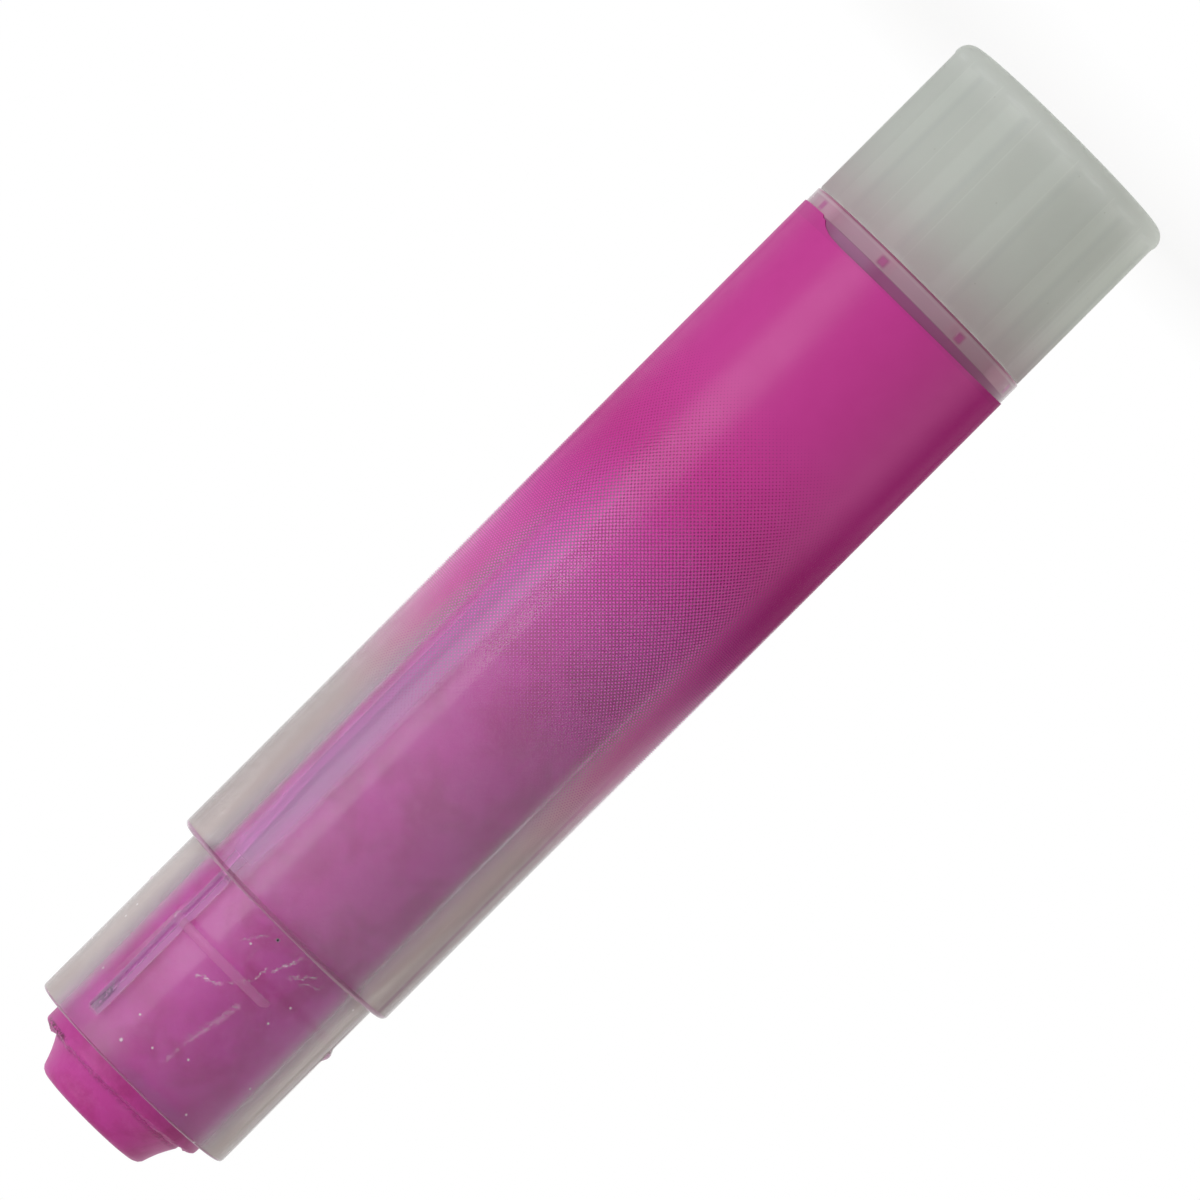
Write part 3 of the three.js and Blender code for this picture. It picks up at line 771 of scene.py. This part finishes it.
# %% [markdown]
# ## Modelling helpers
# Most of the crayon is turned round the Z axis. By hand such a piece starts as a circle, and its
# edge is extruded, lifted and scaled again and again until the section is done. The helper below
# does that from a list of (radius, height) rings. A solid piece starts as a filled disc, so its
# extruded disc closes the far end as well. A hollow one starts open, and its last ring meets the
# first. Both are then merged and their faces pointed outwards.

# %% Turned pieces
def deselect():
    if bpy.context.object and bpy.context.object.mode != "OBJECT":
        bpy.ops.object.mode_set(mode="OBJECT")
    bpy.ops.object.select_all(action="DESELECT")


def activate(piece):
    deselect()
    bpy.context.view_layer.objects.active = piece
    piece.select_set(True)


def merge_and_face_outwards():
    bpy.ops.object.mode_set(mode="EDIT")
    bpy.ops.mesh.select_all(action="SELECT")
    bpy.ops.mesh.remove_doubles(threshold=0.002 * MM)
    bpy.ops.mesh.normals_make_consistent(inside=False)
    bpy.ops.object.mode_set(mode="OBJECT")


def turned(name, rings, sides, solid=False, start_angle=0.0):
    deselect()
    bpy.ops.mesh.primitive_circle_add(
        vertices=sides,
        radius=rings[0][0] * MM,
        fill_type="TRIFAN" if solid else "NOTHING",
        location=(0, 0, rings[0][1] * MM),
        rotation=(0, 0, math.radians(start_angle)),
    )
    piece = bpy.context.object
    piece.name = name
    bpy.ops.object.transform_apply(location=True, rotation=True, scale=True)
    bpy.ops.object.mode_set(mode="EDIT")
    bpy.ops.mesh.select_all(action="SELECT")
    for (radius, height), (next_radius, next_height) in zip(rings, rings[1:]):
        rise = (0, 0, (next_height - height) * MM)
        bpy.ops.mesh.extrude_region_move(TRANSFORM_OT_translate={"value": rise})
        scale = next_radius / radius
        bpy.ops.transform.resize(value=(scale, scale, 1), center_override=(0, 0, 0))
    bpy.ops.object.mode_set(mode="OBJECT")
    merge_and_face_outwards()
    return piece


def arc(centre_radius, centre_height, radius, start, end, steps):
    angles = [math.radians(start + (end - start) * i / steps) for i in range(steps + 1)]
    return [
        (centre_radius + radius * math.cos(a), centre_height + radius * math.sin(a))
        for a in angles
    ]


print("a quarter round:", [(round(r, 2), round(h, 2)) for r, h in arc(0, 0, 1, 0, 90, 3)])

# %% [markdown]
# What isn't round is shaped from the turned piece. Vertices are picked by their place, given as
# radius, angle from the front towards -X, and height, and then moved by the transform operators.
# Ribs, slots and beads are separate solids that a Boolean modifier joins or cuts. What is swept
# starts as a profile in the plane of the X and Z axes: a plane merged to one vertex, which is then
# extruded from corner to corner.

# %% Picking, joining and smoothing
def pick(piece, test):
    activate(piece)
    bpy.ops.object.mode_set(mode="EDIT")
    bpy.ops.mesh.select_mode(type="VERT")
    bpy.ops.mesh.select_all(action="DESELECT")
    shape = bmesh.from_edit_mesh(piece.data)
    for vertex in shape.verts:
        x, y, z = vertex.co / MM
        if test(math.hypot(x, y), math.degrees(math.atan2(-x, -y)), z):
            vertex.select_set(True)
    shape.select_flush(True)
    bmesh.update_edit_mesh(piece.data)
    return sum(vertex.select for vertex in shape.verts)


def modify(piece, kind, settings):
    activate(piece)
    bpy.ops.object.modifier_add(type=kind)
    change = piece.modifiers[-1]
    for name, value in settings.items():
        setattr(change, name, value)
    bpy.ops.object.modifier_apply(modifier=change.name)


def combine(piece, other, operation):
    modify(piece, "BOOLEAN", {"operation": operation, "solver": "EXACT", "object": other})
    activate(other)
    bpy.ops.object.delete()


def radial_block(degrees, inner, outer, width, foot, top):
    deselect()
    bearing = math.radians(-90 - degrees)
    middle = (inner + outer) / 2 * MM
    bpy.ops.mesh.primitive_cube_add(
        size=1,
        location=(middle * math.cos(bearing), middle * math.sin(bearing), (foot + top) / 2 * MM),
        rotation=(0, 0, bearing),
        scale=((outer - inner) * MM, width * MM, (top - foot) * MM),
    )
    bpy.ops.object.transform_apply(location=True, rotation=True, scale=True)
    return bpy.context.object


def drawn(name, profile):
    deselect()
    bpy.ops.mesh.primitive_plane_add(size=MM, location=(0, 0, 0))
    piece = bpy.context.object
    piece.name = name
    bpy.ops.object.mode_set(mode="EDIT")
    bpy.ops.mesh.select_all(action="SELECT")
    bpy.ops.mesh.merge(type="CENTER")
    bpy.ops.transform.translate(value=(profile[0][0] * MM, 0, profile[0][1] * MM))
    for (radius, height), (next_radius, next_height) in zip(profile, profile[1:]):
        step = ((next_radius - radius) * MM, 0, (next_height - height) * MM)
        bpy.ops.mesh.extrude_vertices_move(TRANSFORM_OT_translate={"value": step})
    bpy.ops.mesh.select_all(action="SELECT")
    return piece


def open_edges(piece):
    shape = bmesh.new()
    shape.from_mesh(piece.data)
    count = sum(not edge.is_manifold for edge in shape.edges)
    shape.free()
    return count


def finish_piece(piece, body, node_name, material, sharp_angle=30):
    activate(piece)
    bpy.ops.object.shade_smooth_by_angle(angle=math.radians(sharp_angle))
    piece.data.materials.clear()
    piece.data.materials.append(material)
    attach(piece, body)
    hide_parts(node_name)
    corners = [vertex.co / MM for vertex in piece.data.vertices]
    size = [round(f(c[i] for c in corners), 2) for f in (min, max) for i in range(3)]
    print(piece.name, len(piece.data.polygons), "faces, open edges", open_edges(piece), "box", size)


print("helpers are ready")

# %% [markdown]
# ## Barrel
# On the real crayon the barrel is one injection moulding in natural, unpigmented polypropylene:
# a body, a narrower neck that a cap pushes onto, three thin ribs inside that keep the stick's cup
# from turning, and a groove that the twist base snaps into. Two turned shells joined at the
# shoulder would leave a wall inside the plastic, so the whole section is turned in one piece.

# %% Barrel shell
BARREL_SIDES = 192

barrel_rings = [(BODY_BORE, BARREL_FOOT)]
barrel_rings += arc(BODY_RADIUS - 0.12, BARREL_FOOT + 0.12, 0.12, -90, 0, 3)
barrel_rings += arc(BODY_RADIUS - 0.4, SHOULDER - 0.4, 0.4, 0, 90, 6)
barrel_rings += [(NECK_RADIUS + 0.08, SHOULDER), (NECK_RADIUS, SHOULDER + 0.08)]
barrel_rings += arc(NECK_RADIUS - 0.25, RIM - 0.25, 0.25, 0, 90, 4)
barrel_rings += arc(NECK_BORE + 0.15, RIM - 0.15, 0.15, 90, 180, 3)
barrel_rings += [(NECK_BORE, 77.0), (NECK_BORE + 0.03, TAPER_TOP), (BODY_BORE - 0.03, TAPER_FOOT)]
barrel_rings += [(BODY_BORE, 65.0), (BODY_BORE, 16.0), (BODY_BORE + 0.3, 15.95)]
barrel_rings += [(BODY_BORE + 0.3, 15.35), (BODY_BORE, 15.3), (BODY_BORE, BARREL_FOOT)]
barrel = turned("clear_barrel", barrel_rings, BARREL_SIDES)
print("barrel shell", len(barrel.data.polygons), "faces")

# %% [markdown]
# The ribs run from the groove up through body and neck. Each is a long thin block whose inner
# edges are bevelled, sunk into the wall and joined to it, as draft and polish leave them on a
# moulding. Each rib has one stretch in the body and one in the narrower neck, given as how far
# out, from where and up to where it goes. They stop 1.8 mm short of the rim.

# %% Guide ribs
RIB_WIDTH, RIB_RADIUS = 0.6, 7.0
RIB_STRETCHES = [(9.0, 16.7, 74.3), (8.05, 73.9, 88.0)]

for k in range(3):
    for outer, foot, top in RIB_STRETCHES:
        rib = radial_block(RIB_ANGLE + RIB_PITCH * k, RIB_RADIUS, outer, RIB_WIDTH, foot, top)
        pick(rib, lambda radius, angle, height: radius < RIB_RADIUS + 0.1)
        bpy.ops.mesh.bevel(offset=0.2 * MM, segments=3)
        combine(barrel, rib, "UNION")
print("three ribs joined,", len(barrel.data.polygons), "faces")

# %% [markdown]
# A cap snaps over three low stretches of bead on the neck. A bead is swept: its rounded profile is
# drawn as a face at one end of the stretch and spun 66 degrees round the axis, which goes
# clockwise when no window is open. Its ends are drawn in, so that it fades out.

# %% Snap bead
BEAD_ANGLE, BEAD_SPAN, BEAD_HEIGHT = -9, 66, 79.5
BEAD_PROUD, BEAD_HALF_WIDTH = 0.2, 0.72
BEAD_PITCH = 120
DRAWN_IN = 0.9875

bead_profile = [(NECK_RADIUS - 0.2, BEAD_HEIGHT - BEAD_HALF_WIDTH)]
for i in range(13):
    share = (1 - math.cos(2 * math.pi * i / 12)) / 2
    bead_height = BEAD_HEIGHT + BEAD_HALF_WIDTH * (i / 6 - 1)
    bead_profile.append((NECK_RADIUS - 0.01 + (BEAD_PROUD + 0.01) * share, bead_height))
bead_profile.append((NECK_RADIUS - 0.2, BEAD_HEIGHT + BEAD_HALF_WIDTH))



def outside_of(reach):
    turn = BEAD_PITCH / 2
    return lambda radius, angle, height: abs((angle - BEAD_ANGLE + turn) % BEAD_PITCH - turn) > reach


for k in range(3):
    bead = drawn("bead", bead_profile)
    bpy.ops.mesh.edge_face_add()
    bpy.ops.mesh.spin(steps=30, angle=math.radians(BEAD_SPAN), center=(0, 0, 0), axis=(0, 0, 1))
    bpy.ops.object.mode_set(mode="OBJECT")
    bead_start = -90 - (BEAD_ANGLE + BEAD_PITCH * k) + BEAD_SPAN / 2
    bead.rotation_euler[2] = math.radians(bead_start)
    bpy.ops.object.transform_apply(location=True, rotation=True, scale=True)
    merge_and_face_outwards()
    for reach in (32, 30):
        pick(bead, outside_of(reach))
        bpy.ops.transform.resize(value=(DRAWN_IN, DRAWN_IN, 1), center_override=(0, 0, 0))
    print("bead", k + 1, "open edges", open_edges(bead))
    combine(barrel, bead, "UNION")
finish_piece(barrel, "barrel_body", "barrel", clear)

# %% [markdown]
# ## Label film
# The print is on a thin film that wraps the body once. It is a sleeve with two faces, so that it
# has a real edge, and a narrow gap at the back where its ends meet. Its foot isn't cut square: it
# steps up 0.9 mm at one side of the front and sinks back towards the other side, so each column of
# that edge is lifted by its own amount, read off a short list of (bearing, lift) pairs.

# %% Film sleeve
FILM_INNER, FILM_OUTER = 9.545, 9.605
FILM_FOOT, FILM_TOP = 15.5, 72.7
FILM_SEAM, SEAM_GAP = 180, 0.5
FILM_EDGE = [(-180, 0), (-55, 0), (-51, 0.5), (-45, 0.78), (-36, 0.88)]
FILM_EDGE += [(0, 0.85), (45, 0.68), (90, 0.4), (180, 0)]


def film_lift(bearing):
    for (start, low), (end, high) in zip(FILM_EDGE, FILM_EDGE[1:]):
        if start <= bearing <= end:
            return low + (high - low) * (bearing - start) / (end - start)


film_rings = [(FILM_INNER, FILM_FOOT), (FILM_OUTER, FILM_FOOT), (FILM_OUTER, FILM_TOP)]
film_rings += [(FILM_INNER, FILM_TOP), (FILM_INNER, FILM_FOOT)]
film = turned("label_sleeve", film_rings, BARREL_SIDES)
combine(film, radial_block(FILM_SEAM, 9.0, 10.0, SEAM_GAP, 10, 80), "DIFFERENCE")
for column in range(BARREL_SIDES):
    bearing = -180 + (column + 0.5) * 360 / BARREL_SIDES
    lift = film_lift(bearing)
    if lift > 0:
        pick(film, lambda radius, angle, height: abs(angle - bearing) < 1 and height < FILM_FOOT + 0.1)
        bpy.ops.transform.translate(value=(0, 0, lift * MM))
finish_piece(film, "barrel_body", "label_film", film_look)

# %% [markdown]
# ## Twist base
# The base is a hollow cup with sixteen shallow flutes for grip and a slotted collar that snaps
# into the barrel. Cutting the flutes with sixteen Booleans would break the surface into slivers.
# Instead the cup is turned with 384 sides, starting at a ridge, and the vertices between two
# ridges are drawn inwards, each by the depth of a round hollow at its place.

# %% Base cup
BASE_SIDES = 384
BASE_RADIUS, BASE_BORE = 9.505, 8.305
BASE_TOP = 14.2

base_rings = [(BASE_RADIUS - 1.0, 0.0)]
base_rings += arc(BASE_RADIUS - 1.0, 1.0, 1.0, -81, 0, 9)
base_rings += [(BASE_RADIUS, h) for h in (1.15, 1.25, 1.36, 1.5, 1.7, 13.8, 14.08)]
base_rings += [(BASE_RADIUS - 0.04, BASE_TOP), (8.45, BASE_TOP), (8.45, 15.42), (8.8, 15.42)]
base_rings += [(8.8, 15.65), (8.45, 15.88), (8.45, 16.1), (7.65, 16.1), (7.65, BASE_TOP)]
base_rings += [(6.65, BASE_TOP), (6.65, 12.9), (BASE_BORE, 11.25), (BASE_BORE, 1.6), (8.0, 1.4)]
base_rings += [(4.02, 1.4), (4.02, 12.25), (2.72, 12.25), (2.72, 1.4)]
base = turned("fluted_base", base_rings, BASE_SIDES, solid=True, start_angle=-90 - RIDGE_ANGLE)
print("base cup", len(base.data.polygons), "faces")

# %% Flutes
FLUTE_DEPTH, HOLLOW_RADIUS = 0.12, 40.0
STEP = 360 / BASE_SIDES

flute_reach = math.sqrt(2 * FLUTE_DEPTH / (1 / BASE_RADIUS + 1 / HOLLOW_RADIUS))
end_shares = {1.25: 0.35, 1.36: 0.75, 1.5: 0.95, 1.7: 1.0, 13.8: 1.0, 14.08: 1.0, BASE_TOP: 0.9}
for index in range(1, int(FLUTE_PITCH / STEP / 2) + 1):
    from_ridge = index * STEP
    from_middle = BASE_RADIUS * math.radians(FLUTE_PITCH / 2 - from_ridge)
    depth = FLUTE_DEPTH * max(0.0, 1 - (from_middle / flute_reach) ** 2)
    for ring_height, share in end_shares.items():
        def in_flute(radius, angle, height):
            offset = abs((angle - RIDGE_ANGLE + FLUTE_PITCH / 2) % FLUTE_PITCH - FLUTE_PITCH / 2)
            return (
                abs(offset - from_ridge) < STEP / 4
                and abs(height - ring_height) < 0.02
                and radius > BASE_RADIUS - 0.15
            )

        if depth > 0:
            pick(base, in_flute)
            scale = 1 - depth * share / BASE_RADIUS
            bpy.ops.transform.resize(value=(scale, scale, 1), center_override=(0, 0, 0))
print("flutes reach", round(flute_reach, 2), "mm to each side")

# %% [markdown]
# The collar is cut into eight fingers, which bend inwards as the base is pushed into the barrel.
# Twelve low ribs stiffen the cup inside. Soft light bands are painted on the frosted wall where they
# stand.

# %% Collar slots and inner ribs
SLOT_WIDTH, SLOT_FOOT = 0.75, 14.6
INNER_RIB_WIDTH, INNER_RIB_TOP = 1.0, 11.0

for k in range(8):
    slot = radial_block(SLOT_ANGLE + SLOT_PITCH * k, 7.2, 9.2, SLOT_WIDTH, SLOT_FOOT, 17)
    combine(base, slot, "DIFFERENCE")
for k in range(12):
    bearing = INNER_RIB_ANGLE + INNER_RIB_PITCH * k
    combine(base, radial_block(bearing, 7.6, 8.5, INNER_RIB_WIDTH, 1.2, INNER_RIB_TOP), "UNION")
finish_piece(base, "twist_body", "twist_base", base_look, sharp_angle=62)

# %% [markdown]
# ## Screw and carrier
# Inside, a coarse left-hand screw lifts a cup that holds the stick. Neither shows while the stick
# is low, but a raised stick leaves the screw in view behind the clear wall. The thread is one
# pitch of its profile, drawn vertex by vertex and swept by a Screw modifier, then cut square.

# %% Drive screw
LEAD = 5.0
CORE_RADIUS, CREST_RADIUS = 1.9, 2.7
THREAD_TURNS, STEPS_A_TURN = 15, 48
THREAD_FOOT, THREAD_TOP = 14.9, 79.4

start = THREAD_FOOT - LEAD - 1
thread_profile = [(CORE_RADIUS, start), (CORE_RADIUS, start + 2.2), (CREST_RADIUS, start + 3.0)]
thread_profile += [(CREST_RADIUS, start + 4.2), (CORE_RADIUS, start + LEAD)]
screw = drawn("lift_screw", thread_profile)
sweep = {"angle": -2 * math.pi, "screw_offset": LEAD * MM, "iterations": THREAD_TURNS}
sweep |= {"steps": STEPS_A_TURN, "render_steps": STEPS_A_TURN, "use_merge_vertices": True}
modify(screw, "SCREW", sweep)
bpy.ops.object.mode_set(mode="EDIT")
bpy.ops.mesh.select_all(action="SELECT")
bpy.ops.mesh.remove_doubles(threshold=0.005 * MM)
for cut_height, far_side in ((THREAD_TOP, {"clear_outer": True}), (THREAD_FOOT, {"clear_inner": True})):
    bpy.ops.mesh.select_all(action="SELECT")
    bpy.ops.mesh.bisect(plane_co=(0, 0, cut_height * MM), plane_no=(0, 0, 1), use_fill=True, **far_side)
bpy.ops.object.mode_set(mode="OBJECT")
merge_and_face_outwards()
print("thread", len(screw.data.polygons), "faces, open edges", open_edges(screw))

# %% Flange and plug
flange = turned("flange", [(7.2, 14.25), (7.45, 14.4), (7.45, 15.1), (7.3, 15.25)], 96, solid=True)
plug = turned("plug", [(2.4, 1.45), (2.6, 1.7), (2.6, 14.6)], 6, solid=True)
combine(screw, flange, "UNION")
combine(screw, plug, "UNION")
finish_piece(screw, "twist_body", "drive_screw", inner_look)

# %% Stick carrier
NOTCH_WIDTH = 1.0

carrier_rings = [(7.3, 20.85), (7.45, 21.0), (7.45, 29.3), (7.3, 29.45), (6.9, 29.45), (6.9, 22.45)]
carrier_rings += [(4.4, 22.45), (4.4, 26.7), (4.25, 26.85), (3.0, 26.85), (3.0, 20.85), (7.3, 20.85)]
carrier = turned("stick_cup", carrier_rings, 128)
for k in range(3):
    notch = radial_block(RIB_ANGLE + RIB_PITCH * k, 6.8, 8.0, NOTCH_WIDTH, 20, 30)
    combine(carrier, notch, "DIFFERENCE")
finish_piece(carrier, "stick_body", "stick_carrier", inner_look)

# %% [markdown]
# ## Stick
# The stick is cast in a mould: a cylinder whose end steps in to a short tapered tip. Where the
# two halves of the mould met, a thin ragged ridge of wax stands round the tip's foot, with a
# narrow crack inside it.

# %% Stick body and tip
STICK_SIDES = 192

stick_rings = [(3.1, 84.9), (3.1, 27.3), (4.5, 27.3), (4.5, 22.5), (6.6, 22.5), (6.8, 22.7)]
stick_rings += [(6.8, 90.4), (6.8, 90.75), (6.76, 90.88), (6.66, 90.97), (6.5, 91.04)]
stick_rings += [(6.32, 91.1), (6.14, 91.15), (6.0, 91.14), (5.9, 91.03), (5.82, 91.02)]
stick_rings += [(5.75, 91.12), (5.68, 91.27), (5.55, 91.5), (5.3, 91.95), (5.08, 92.4)]
stick_rings += [(4.9, 92.85), (4.78, 93.2), (4.68, 93.5), (4.5, 93.72), (4.25, 93.85)]
stick_rings += [(3.9, 93.9), (2.5, 93.9), (1.0, 93.9)]
stick = turned("wax_stick", stick_rings, STICK_SIDES, solid=True)
print("stick", len(stick.data.polygons), "faces")

# %% [markdown]
# The ridge leans: it stands 1.7 mm out of the rim on one side and 1.2 mm on the other. Its
# vertices are turned a little about the Y axis, then displaced by a cloud texture, which gives the
# ragged edge. The displacement only acts where a vertex group says so.

# %% Leaning, ragged ridge
RIDGE_LEAN = math.radians(2.0)
FLASH_HEIGHT = 0.75


def on_ridge(radius, angle, height):
    return 90.6 < height < 91.4 and radius > 5.72


pick(stick, on_ridge)
bpy.ops.transform.rotate(value=RIDGE_LEAN, orient_axis="Y", center_override=(0, 0, 91.0 * MM))
deselect()
ridge_group = stick.vertex_groups.new(name="ridge")
for vertex in stick.data.vertices:
    radius = math.hypot(vertex.co.x, vertex.co.y) / MM
    height = vertex.co.z / MM
    if 5.9 < radius < 6.7 and 90.5 < height < 91.9:
        ridge_group.add([vertex.index], 1.0 - abs(radius - 6.2) / 0.6, "REPLACE")
ragged = bpy.data.textures.new("ragged_wax", "CLOUDS")
ragged.noise_scale = 0.8 * MM
ragged.noise_depth = 3
flash = {"texture": ragged, "texture_coords": "LOCAL", "vertex_group": ridge_group.name}
flash |= {"direction": "Z", "mid_level": 0.5, "strength": FLASH_HEIGHT * MM}
modify(stick, "DISPLACE", flash)
finish_piece(stick, "stick_body", "gel_stick", wax_look)
